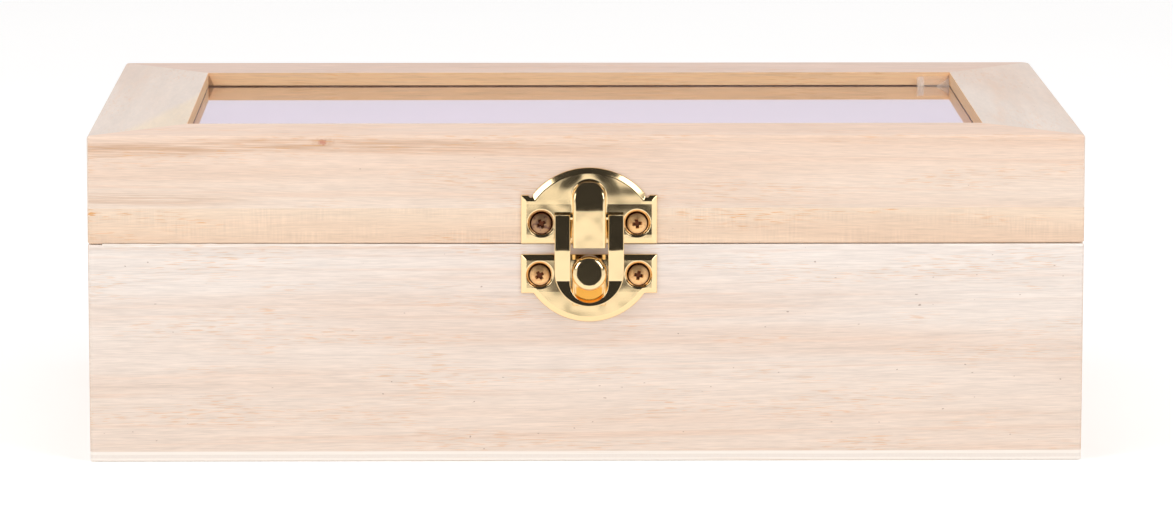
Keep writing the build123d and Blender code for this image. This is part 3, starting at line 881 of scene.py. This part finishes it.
def clear_pane(name, look):
    """A clear pane under a thin lilac film that thins out to the rear. Lamps shine through."""
    finish = new_finish(name)
    polish, index = 0.015, 1.7
    glass = finish.node("BsdfPrincipled", None, {
        "Base Color": (*look.pane, 1.0), "Transmission Weight": 1.0, "Coat Weight": 1.0,
        "Roughness": polish, "Coat Roughness": polish, "IOR": index, "Coat IOR": index})
    film = finish.node("BsdfPrincipled", None, {
        "Base Color": (*look.haze, 1.0), "Roughness": 0.12, "Specular IOR Level": 0.5})
    place = finish.place()
    y = finish.parts_of(place)[1] / MM
    patchy = finish.node("TexNoise", None, {"Vector": place, "Scale": 22.0, "Detail": 3.0})
    share = (1 - y.between(6.0, 26.0) * 0.85) * (patchy * 1.6 + 0.2) * look.haze_amount
    covered = finish.node("MixShader", None, {0: share, 1: glass, 2: film})
    clear = finish.node("BsdfTransparent", None, {"Color": (1.0, 1.0, 1.0, 1.0)})
    shadow = finish.ray("Shadow")
    return finish.done(finish.node("MixShader", None, {0: shadow, 1: covered, 2: clear}))


def loose_film(name, look):
    """Thin clear film, clouded where it was creased in the corner, with a painted highlight of
    whitened film along its free end.
    """
    finish = new_finish(name)
    place = finish.place()
    x, _, z = (part / MM for part in finish.parts_of(place))
    from_corner = x - window_right / MM
    above = z - pane_top / MM
    patchy = finish.node("TexNoise", None, {"Vector": place, "Scale": 900.0, "Detail": 2.0})
    # Painted highlight: the film's free end is made opaque white where light would glint on it
    curl_highlight = 1 - (from_corner + 7.6).size().between(0.3, 1.2)
    creased = (from_corner + 4.0 - above * 1.6).between(0.0, 0.9)
    clouding_and_highlight = curl_highlight * 0.52 + creased * 0.22
    return finish.done(finish.node("BsdfPrincipled", None, {
        "Base Color": (*look.film, 1.0), "Roughness": 0.12, "IOR": 1.5,
        "Alpha": 0.1 + clouding_and_highlight * (0.6 + patchy * 0.8)}))


def give(node, material):
    """Gives a node its finish."""
    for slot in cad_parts[node].material_slots:
        slot.material = material


# One operator for each group of pieces

class BOX_OT_base_boards(bpy.types.Operator):
    """Finish the base's four walls and its plywood bottom"""
    bl_idname = "box.base_boards"
    bl_label = "Base Boards"

    def execute(self, context):
        look = context.scene.box_wood
        for i, (side, run) in enumerate(SIDES.items()):
            marks = [torn_edge, end_grain] if run == "x" else [torn_edge]
            give(f"base_{side}_wall", bare_wood(
                f"base {side} wood", run, panel_top, base_top, 2.3 + 5.1 * i,
                (look.wall_low, look.wall_high), look, marks, lean=math.radians(0.5)))
        give("base_bottom_panel", plywood("plywood", look))
        self.add_torn_fibres(look)
        return {"FINISHED"}

    def add_torn_fibres(self, look):
        """A ragged line of torn fibres that stands in the seam at the front, most at the left."""
        gap = (lid_bottom - base_top) / MM
        left, right = box_low.x / MM + 3.5, box_high.x / MM - 25
        foot, top = -0.28, gap + 0.1
        back, front, top_back = -0.16, -0.015, -0.045
        fibres = add_block("torn_fibres", (left, foot, back), (right, top, front))
        with editing(fibres, "VERT"):
            select_only(fibres, "verts", lambda vertex: vertex.co.y > gap
                        and vertex.co.z < back + NEAR)
            bpy.ops.transform.translate(value=(0, 0, top_back - back))
        with editing(fibres, "FACE"):
            for x in steps(left, right, 90)[1:-1]:
                bpy.ops.mesh.select_all(action="SELECT")
                bpy.ops.mesh.bisect(plane_co=(x, 0, 0), plane_no=(1, 0, 0), threshold=MERGE)
        columns = sorted({round(vertex.co.x, 3) for vertex in fibres.data.vertices})
        with editing(fibres, "VERT"):
            for i, x in enumerate(columns):
                along = i / (len(columns) - 1)
                ragged = 0.93 + 0.07 * math.sin(i * 2.4) * math.sin(i * 0.7)
                select_only(fibres, "verts", lambda vertex: abs(vertex.co.x - x) < 2 * NEAR)
                bpy.ops.transform.resize(value=(1, (1 - along ** 1.4) * ragged, 1),
                                         center_override=(x, foot, back))
        even_shading(fibres, degrees=30)
        put_on(fibres, upright_face(0, box_low.y, base_top), "base", "wall_wood", bare_wood(
            "torn fibres", "x", 0.0, MM, 7.7, (look.torn_fibres, look.torn_fibres), look))


class BOX_OT_lid_boards(bpy.types.Operator):
    """Finish the lid's mitred frame and the strips glued under it"""
    bl_idname = "box.lid_boards"
    bl_label = "Lid Boards"

    def execute(self, context):
        look = context.scene.box_wood
        bands = [
            growth_band(height=77.3, slope=0.012, half_width=2.5, strength=0.75, fade=(-70, 60)),
            growth_band(height=63.9, slope=-0.004, half_width=2.6, strength=0.5,
                        fade=(-104, -66))]
        own_marks = {"front": [*bands, knot(-63.3, 77.9)], "rear": bands, "left": [wedge],
                     "right": []}
        tops = {"front": look.rail_high, "rear": look.rear_rail, "left": look.side_rail,
                "right": look.side_rail}
        for i, (side, run) in enumerate(SIDES.items()):
            give(f"lid_{side}_frame_rail", bare_wood(
                f"lid {side} frame wood", run, glue_line, lid_top, 51.7 + 4.3 * i,
                (look.rail_low, tops[side]), look, [*own_marks[side], sawn_inside_with_corner_shadow],
                lean=math.radians(-0.8)))
            marks = [saw_marks, end_grain] if run == "x" else [saw_marks]
            give(f"lid_{side}_rim", bare_wood(
                f"lid {side} rim wood", run, lid_bottom, glue_line, 81.9 + 6.7 * i,
                (look.rim_low, look.rim_high), look, marks, open_pores=0.85))
        return {"FINISHED"}


class BOX_OT_window(bpy.types.Operator):
    """Finish the window's pane, its loose film and the beads that hold it"""
    bl_idname = "box.window"
    bl_label = "Window"

    def execute(self, context):
        wood = context.scene.box_wood
        look = context.scene.box_window
        give("window_pane", clear_pane("clear pane", look))
        for i, (side, run) in enumerate(SIDES.items()):
            low, high = (corner.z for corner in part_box(f"pane_bead_{side}"))
            give(f"pane_bead_{side}", bare_wood(f"bead {side} wood", run, low, high,
                                                121.3 + 3.9 * i, (wood.cut_face, wood.cut_face),
                                                wood))
        self.add_loose_film(in_millimetres(look))
        return {"FINISHED"}

    def add_loose_film(self, size):
        """The corner of the pane's film that came loose and leans on the rear rail. Its free end
        curls forward."""
        width, height = size.film_width, size.film_height
        columns, rows = 26, 8
        rear_gap, lean = 0.15, 1.0
        curl_start, curl_run, curl_height, ripple_height = 5.8, 2.8, 1.4, 0.12
        bpy.ops.mesh.primitive_grid_add(x_subdivisions=columns, y_subdivisions=rows, size=1,
                                        location=(-width / 2, height / 2, 0))
        bpy.context.active_object.scale = (width, height, 1)
        film = new_piece("loose_film")
        with editing(film, "VERT"):
            for y in steps(0, height, rows):
                select_only(film, "verts", lambda vertex: abs(vertex.co.y - y) < NEAR)
                away = rear_gap + lean * (1 - y / height) ** 1.6
                bpy.ops.transform.translate(value=(0, 0, away))
            for x in steps(-width, 0, columns):
                curl = curl_height * max(0.0, (-x - curl_start) / curl_run) ** 2
                ripple = ripple_height * (1 + math.sin(x * 2.1))
                select_only(film, "verts", lambda vertex: abs(vertex.co.x - x) < NEAR)
                bpy.ops.transform.translate(value=(0, 0, curl + ripple))
        work_on(film)
        modifier = film.modifiers.new("thickness", "SOLIDIFY")
        modifier.thickness = size.film_sheet
        bpy.ops.object.modifier_apply(modifier=modifier.name)
        even_shading(film, degrees=60)
        corner = (window_right - 0.1 * MM, window_rear, pane_top + 0.03 * MM)
        put_on(film, upright_face(*corner), "lid", "clear_pane", loose_film("loose film", size))


def stamp_plate(side, size, ears, arc_radius, arc_height, arc_side):
    """A plate of the latch with its field pressed up inside a sloping rim. It is straight between
    the heights of its ears and round beyond them, upwards for an arc_side of 1 and downwards for
    -1."""
    half = latch_box(f"latch_{side}_plate")[1].x
    plate = add_block(f"latch_{side}_plate_pressed", (-half, ears[0], 0),
                      (half, ears[1], size.plate_side))
    arc = add_disc("arc", arc_radius, (0, arc_height), 0, size.plate_side, sides=192)
    overlap = 2.0
    edge = max(ears) - overlap if arc_side > 0 else min(ears) + overlap
    cut_away(arc, (0, edge, 0), (0, -arc_side, 0))
    combine(plate, arc)
    merge_flat_faces(plate)
    with editing(plate, "FACE"):
        select_only(plate, "faces", looks_up)
        bpy.ops.mesh.inset(thickness=size.plate_rim, depth=size.plate_rise - size.plate_side)
    is_sharp = sharper_than(18)
    bevel(plate, lambda edge: middle_of(edge).z > 0.05 and is_sharp(edge), size.plate_round,
          segments=3)
    for hand in ("left", "right"):
        sink_dimple(plate, size, latch_screw_spot(side, hand))
    return plate


def sink_dimple(plate, size, spot):
    """Sinks a dimple with a soft lip round one of a plate's screws."""
    centre = (spot[0], spot[1] + size.dimple_lift)

    def cutter(radius, half_height, slope):
        widening = half_height / math.tan(slope)
        return add_cone("dimple", radius - widening, radius + widening, centre,
                        size.plate_rise - half_height, size.plate_rise + half_height)

    dimple = cutter(size.dimple_radius, 1.0, size.dimple_slope)
    lip = cutter(size.dimple_radius + size.dimple_lip, 0.12, math.radians(20))
    combine(plate, combine(dimple, lip), "DIFFERENCE")


def fit_plate(plate, side, body):
    """Shades a plate of the latch and puts it on the front."""
    merge_flat_faces(plate)
    even_shading(plate, degrees=38)
    put_on(plate, on_front, body, "polished_brass", metal_finish(f"{side} plate brass"),
           f"latch_{side}_plate")


class BOX_OT_upper_plate(bpy.types.Operator):
    """Model the latch's upper plate with its raised loop"""
    bl_idname = "box.upper_plate"
    bl_label = "Upper Plate"

    def execute(self, context):
        size = in_millimetres(context.scene.box_latch)
        bottom = (lid_bottom - seam_height) / MM
        ear_top, radius, centre = size.upper_ear_top, size.upper_arc_radius, size.upper_arc_height
        plate = stamp_plate("upper", size, (bottom, ear_top), radius, centre, 1)
        nick = math.sqrt(radius ** 2 - (ear_top - centre) ** 2) + size.notch_radius / 2
        for hand in (-1, 1):
            notch = add_disc("notch", size.notch_radius, (hand * nick, ear_top), -1, 3, sides=32)
            combine(plate, notch, "DIFFERENCE")
        combine(plate, self.loop(size, 0.0))
        self.soften_foot(plate, size)
        combine(plate, self.loop(size, size.loop_sheet), "DIFFERENCE")
        bore = add_rod("bore", size.bar_radius + size.bar_gap, -size.loop_width, size.loop_width,
                       size.pivot_height, size.pivot_rise)
        combine(plate, bore, "DIFFERENCE")
        fit_plate(plate, "upper", "lid")
        return {"FINISHED"}

    def loop(self, size, inset):
        """The loop's outer form, or the hollow inside it when inset by the sheet."""
        half = size.loop_width / 2 - inset
        top = size.loop_top - inset
        crest = size.loop_rise - inset
        foot = -1.0 if inset else size.plate_rise
        # It starts inside the plate and below its own end, which is cut off once it is round
        low = -size.loop_drop - 2.0
        bottom = min(foot, size.plate_rise - 0.4)
        least_edge = 0.3
        loop = add_slab("loop", half, low, top, bottom, crest, high_round=True)
        bevel(loop, level(crest), max(size.loop_edge - inset, least_edge), segments=6)
        if not inset:
            cut_away(loop, (0, -size.loop_drop, 0), (0, -1, 0))
        shoulder = size.loop_shoulder
        just_past = 10 * NEAR
        cut_rows(loop, steps(shoulder, top - half, 9))
        cut_face_rows(loop, crest, top - half + just_past, top)
        # Past its shoulder the loop falls back on an arc
        run = size.loop_top - shoulder
        drop = size.loop_rise - size.loop_brow
        radius = (run ** 2 + drop ** 2) / (2 * drop)

        def share(height):
            fall = radius - math.sqrt(radius ** 2 - (height - shoulder) ** 2)
            return (crest - fall - foot) / (crest - foot)

        press_rows(loop, shoulder + just_past, top + 1, share, foot)
        return loop

    def soften_foot(self, plate, size):
        """Rounds the line where the loop leaves the plate."""
        half = size.loop_width / 2
        centre = size.loop_top - half
        above_rim = size.plate_rim + 0.3
        lies_flat = level(size.plate_rise)

        def at_foot(edge):
            middle = middle_of(edge)
            reach = math.hypot(middle.x, max(middle.y - centre, 0.0))
            return lies_flat(edge) and middle.y > above_rim and abs(reach - half) < 0.03

        bevel(plate, at_foot, size.loop_foot, segments=3)


class BOX_OT_hasp(bpy.types.Operator):
    """Model the hasp that swings on the loop"""
    bl_idname = "box.hasp"
    bl_label = "Hasp"

    def execute(self, context):
        size = in_millimetres(context.scene.box_latch)
        low, high = latch_box("latch_hasp")
        half = (high.x - low.x) / 2
        slot_half = size.hasp_slot / 2
        pivot, rise, front = size.pivot_height, size.pivot_rise, size.hasp_front
        back = front - size.hasp_sheet
        middle = front - size.hasp_sheet / 2
        # The foot gets shorter as it tips forward, so it starts lower by as much
        foot = low.y + (low.y + size.hasp_crease) * (1 - math.cos(size.hasp_lip))
        hasp = add_slab("latch_hasp_ring", half, foot, pivot + size.hasp_top, back, front,
                        low_round=True)
        slot = add_slab("slot", slot_half, foot + size.hasp_foot_bar, pivot + 2, back - 1,
                        front + 1, low_round=True)
        combine(hasp, slot, "DIFFERENCE")
        merge_flat_faces(hasp)
        bevel(hasp, level(front), size.hasp_edge, segments=3)
        bend(hasp, -size.hasp_crease, middle, size.hasp_lip, size.hasp_crease_radius,
             beyond=-1, count=4)
        bend(hasp, -size.hasp_bend, middle, -size.hasp_lean, size.hasp_bend_radius, beyond=1)
        # The knuckles are a little narrower than the hasp's arms
        inset = 0.04
        for hand in (-1, 1):
            ends = sorted((hand * (slot_half + inset), hand * (half - inset)))
            knuckle = add_rod("knuckle", size.knuckle_radius, *ends, pivot, rise)
            bevel(knuckle, sharper_than(60), size.knuckle_edge, segments=2)
            combine(hasp, knuckle)
        bar_half = slot_half + 1
        combine(hasp, add_rod("bar", size.bar_radius, -bar_half, bar_half, pivot, rise))
        even_shading(hasp, degrees=32)
        put_on(hasp, on_front, "hasp", "polished_brass", metal_finish("hasp brass"),
               "latch_hasp")
        return {"FINISHED"}


class BOX_OT_lower_plate(bpy.types.Operator):
    """Model the latch's lower plate with its catch"""
    bl_idname = "box.lower_plate"
    bl_label = "Lower Plate"

    def execute(self, context):
        size = in_millimetres(context.scene.box_latch)
        top = latch_box("latch_lower_plate")[1].y
        plate = stamp_plate("lower", size, (-size.lower_ear_drop, top), size.lower_arc_radius,
                            -size.lower_arc_drop, -1)
        strap = add_slab("strap", size.strap_width / 2, -size.strap_bottom,
                         top - 2 * size.plate_rim, size.plate_rise - 0.5, size.strap_rise)
        bevel(strap, level(size.strap_rise), size.strap_edge, segments=5)
        combine(plate, strap)
        combine(plate, self.knob(size))
        fit_plate(plate, "lower", "base")
        return {"FINISHED"}

    def knob(self, size):
        """The knob that the hasp drops over: a round button whose face leans back."""
        foot = size.plate_rise
        low = -size.knob_bottom
        high = low + size.knob_width
        knob = add_disc("knob", size.knob_width / 2, (0, low + size.knob_width / 2), foot - 0.3,
                        size.knob_rise)
        bevel(knob, level(size.knob_rise), size.knob_edge, segments=12)
        fall = size.knob_lean / size.knob_width
        press_rows(knob, low - 1, high + 1, lambda height: 1 - fall * (height - low), foot)
        return knob


def add_screw(head, dome, shank, length):
    """A wood screw along z with a cross recess, the rim of its head at 0 and its point below."""
    rim = 0.1
    screw = add_disc("screw", head, (0, 0), -rim, 0, sides=64)
    # The dome is a cap of a ball, with a ring at each share of the way to its middle
    ball = (head ** 2 + dome ** 2) / (2 * dome)
    with editing(screw, "FACE"):
        select_only(screw, "faces", looks_up)
        radius, height = head, 0.0
        for share in (0.04, 0.12, 0.24, 0.38, 0.54, 0.72, 0.9):
            ring = head * (1 - share)
            lift = math.sqrt(ball ** 2 - ring ** 2) - (ball - dome)
            bpy.ops.mesh.inset(thickness=radius - ring, depth=lift - height)
            radius, height = ring, lift
        select_only(screw, "faces", lambda face: face.normal.z < -0.999)
        # The cone under the head, then the shank, then the point
        cone = head - shank
        for inward, down in ((cone, cone - rim), (0, length - head), (shank * 0.9, shank)):
            bpy.ops.mesh.inset(thickness=inward, depth=down)
    arm, width, bottom = head * 0.58, head * 0.19, -head * 0.14
    cross = None
    for quarter in (0, 1):
        bar = add_block("recess", (-arm, -width, bottom), (arm, width, dome + 0.1))
        with editing(bar, "VERT"):
            select_only(bar, "verts", lambda vertex: vertex.co.z < dome)
            bpy.ops.transform.resize(value=(0.45, 0.6, 1), center_override=(0, 0, bottom))
        settle(bar, Matrix.Rotation(quarter * math.pi / 2, 4, "Z"))
        cross = combine(cross, bar) if cross else bar
    combine(screw, cross, "DIFFERENCE")
    even_shading(screw, degrees=34)
    return screw


class BOX_OT_latch_screws(bpy.types.Operator):
    """Model the four screws of the latch"""
    bl_idname = "box.latch_screws"
    bl_label = "Latch Screws"

    def execute(self, context):
        size = in_millimetres(context.scene.box_screws)
        screw = add_screw(size.latch_head, size.latch_dome, size.latch_shank, size.latch_length)
        for side, hand, degrees, finish in (
                ("upper", "left", 27, "aged screw"), ("upper", "right", 8, "copper screw"),
                ("lower", "left", 33, "copper screw"), ("lower", "right", -11, "copper screw")):
            node = f"latch_{side}_screw_{hand}"
            spot = Matrix.Translation((*latch_screw_spot(side, hand), size.latch_rim))
            turn = Matrix.Rotation(math.radians(degrees), 4, "Z")
            put_on(copy_of(screw, node + "_turned"), on_front @ spot @ turn,
                   "lid" if side == "upper" else "base", finish.replace(" ", "_"),
                   metal_finish(finish), node)
        bpy.data.objects.remove(screw)
        return {"FINISHED"}


class BOX_OT_hinges(bpy.types.Operator):
    """Soften the edges of the two hinges on the rear"""
    bl_idname = "box.hinges"
    bl_label = "Hinges"

    def execute(self, context):
        edge = context.scene.box_metal.leaf_edge / MM
        for hand in ("left", "right"):
            place = on_rear(hand)
            for part, body in (("lid_leaf", "lid"), ("base_leaf", "base"), ("pin", "base")):
                node = f"hinge_{hand}_{part}"
                piece = copy_of(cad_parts[node], node + "_softened")
                settle(piece, place.inverted())
                merge_flat_faces(piece)
                bevel(piece, sharper_than(40), edge, segments=2, clamp=True)
                even_shading(piece, degrees=38)
                put_on(piece, place, body, "hinge_brass", metal_finish("hinge brass"), node)
        return {"FINISHED"}


class BOX_OT_hinge_screws(bpy.types.Operator):
    """Model the eight screws of the hinges"""
    bl_idname = "box.hinge_screws"
    bl_label = "Hinge Screws"

    def execute(self, context):
        size = in_millimetres(context.scene.box_screws)
        screw = add_screw(size.hinge_head, size.hinge_dome, size.hinge_shank, size.hinge_length)
        for body, up in (("lid", 1), ("base", -1)):
            group = []
            for hand in ("left", "right"):
                for aside in (-1, 1):
                    spot = Matrix.Translation((aside * size.hinge_spread, up * size.hinge_height,
                                               size.hinge_rim))
                    turn = Matrix.Rotation(0.9 * len(group) + up, 4, "Z")
                    piece = copy_of(screw, f"hinge_screws_{body}_turned")
                    group.append(settle(piece, on_rear(hand) @ spot @ turn))
            work_on(group[0])
            for piece in group:
                piece.select_set(True)
            bpy.ops.object.join()
            put_on(group[0], Matrix.Identity(4), body, "hinge_screw",
                   metal_finish("hinge screw"), f"hinge_screws_{body}")
        bpy.data.objects.remove(screw)
        return {"FINISHED"}


class BOX_OT_stage(bpy.types.Operator):
    """Set up the camera, the pale floor and the studio's light"""
    bl_idname = "box.stage"
    bl_label = "Stage"

    def execute(self, context):
        setup = context.scene.box_stage
        self.add_camera(context, setup)
        self.add_floor(setup)
        self.light_the_room(context, setup)
        self.add_softbox(-50, 33, setup.softbox_power)
        self.add_softbox(45, 36, setup.softbox_power)
        fill = self.add_lamp("fill light", (0, -0.2, 2.0), (math.radians(5), 0, 0),
                             setup.fill_power)
        fill.data.size = 1.6
        fill.visible_glossy = False
        context.scene.view_settings.view_transform = "Standard"
        return {"FINISHED"}

    def add_camera(self, context, setup):
        turn = (Matrix.Rotation(-setup.camera_turn, 4, "Z")
                @ Matrix.Rotation(math.pi / 2 - setup.camera_tilt, 4, "X")
                @ Matrix.Rotation(setup.camera_roll, 4, "Z"))
        bpy.ops.object.camera_add(location=setup.camera_place, rotation=turn.to_euler())
        camera = bpy.context.active_object
        camera.name = "camera"
        camera.data.lens = setup.focal_length
        camera.data.sensor_width = 36.0
        camera.data.sensor_fit = "HORIZONTAL"
        camera.data.clip_start = 0.01
        context.scene.camera = camera

    def add_floor(self, setup):
        width, depth = 9, 4.5
        bpy.ops.mesh.primitive_plane_add(size=1, location=(0, (depth - setup.floor_front) / 2, 0))
        bpy.context.active_object.scale = (width, depth + setup.floor_front, 1)
        floor = new_piece("floor")
        finish = new_finish("floor")
        fine = finish.node("TexNoise", None, {"Scale": 40.0, "Detail": 3.0})
        skin = finish.scaled((*setup.floor,), 0.985 + fine * 0.03)
        glow = finish.seen_or_mirrored() * setup.floor_glow
        floor.data.materials.append(finish.done(finish.node("BsdfPrincipled", None, {
            "Base Color": skin, "Roughness": 0.7, "Specular IOR Level": 0.1,
            "Emission Color": (1, 1, 1, 1), "Emission Strength": glow})))

    def light_the_room(self, context, setup):
        """Even light for what is matt, and for mirrors a white sweep behind the box and white
        cards beside it, with the dark room in front of it and overhead."""
        world = context.scene.world or bpy.data.worlds.new("studio")
        context.scene.world = world
        room = Finish(world)
        x, y, z = room.parts_of(room.node("TexCoord", output="Generated"))
        behind = y.between(0.1, 0.35) * (1 - z.between(0.5, 0.8))
        aside = x.size().between(0.34, 0.5) * (1 - z.between(0.2, 0.36))
        mirrored = setup.dark_side + behind.or_more(aside) * (1 - setup.dark_side)
        glossy = room.ray("Glossy")
        plain = (1 - glossy) * setup.room_light + glossy * mirrored
        strength = plain.or_more(room.ray("Camera") + room.ray("Transmission"))
        colour = room.mix(glossy * behind, (1.0, 1.0, 1.0), setup.sweep)
        room.done(room.node("Background", None, {0: colour, 1: strength}), "OutputWorld")

    def add_softbox(self, aside, up, watts):
        """A lamp with an even white front that faces the box, so many degrees to the right of the
        front and so many up."""
        reach = 1.45
        turn = Matrix.Rotation(math.radians(aside), 3, "Z") @ Matrix.Rotation(
            -math.radians(up), 3, "X")
        place = turn @ Vector((0, -reach, 0))
        lamp = self.add_lamp("softbox", place, (-place).to_track_quat("-Z", "Y").to_euler(), watts)
        lamp.data.shape = "RECTANGLE"
        lamp.data.size = 0.5
        lamp.data.size_y = 0.62

    def add_lamp(self, name, place, rotation, watts):
        bpy.ops.object.light_add(type="AREA", location=place, rotation=rotation)
        lamp = bpy.context.active_object
        lamp.name = name
        lamp.data.energy = watts
        return lamp


class BOX_PT_panel(bpy.types.Panel):
    """Every step of finishing the box, with its sizes and colours"""
    bl_idname = "BOX_PT_panel"
    bl_label = "Window Lid Box"
    bl_space_type = "VIEW_3D"
    bl_region_type = "UI"
    bl_category = "Window Lid Box"

    def draw(self, context):
        for operator in OPERATORS:
            self.layout.operator(operator.bl_idname)
        for name in GROUPS:
            group = getattr(context.scene, name)
            body = self.layout.box()
            body.label(text=name.removeprefix("box_").capitalize())
            for key in group.__annotations__:
                body.prop(group, key)


GROUPS = {"box_wood": WoodLook, "box_latch": LatchSizes, "box_screws": ScrewSizes,
          "box_metal": MetalLook, "box_window": WindowLook, "box_stage": StageSetup}
OPERATORS = (BOX_OT_base_boards, BOX_OT_lid_boards, BOX_OT_window, BOX_OT_upper_plate,
             BOX_OT_hasp, BOX_OT_lower_plate, BOX_OT_latch_screws, BOX_OT_hinges,
             BOX_OT_hinge_screws, BOX_OT_stage)


def register():
    for group in GROUPS.values():
        bpy.utils.register_class(group)
    for name, group in GROUPS.items():
        setattr(bpy.types.Scene, name, PointerProperty(type=group))
    for operator in OPERATORS:
        bpy.utils.register_class(operator)
    bpy.utils.register_class(BOX_PT_panel)


def unregister():
    bpy.utils.unregister_class(BOX_PT_panel)
    for operator in reversed(OPERATORS):
        bpy.utils.unregister_class(operator)
    for name, group in GROUPS.items():
        delattr(bpy.types.Scene, name)
        bpy.utils.unregister_class(group)


def main():
    register()
    for operator in OPERATORS:
        family, action = operator.bl_idname.split(".")
        getattr(getattr(bpy.ops, family), action)()


if __name__ == "__main__":
    main()
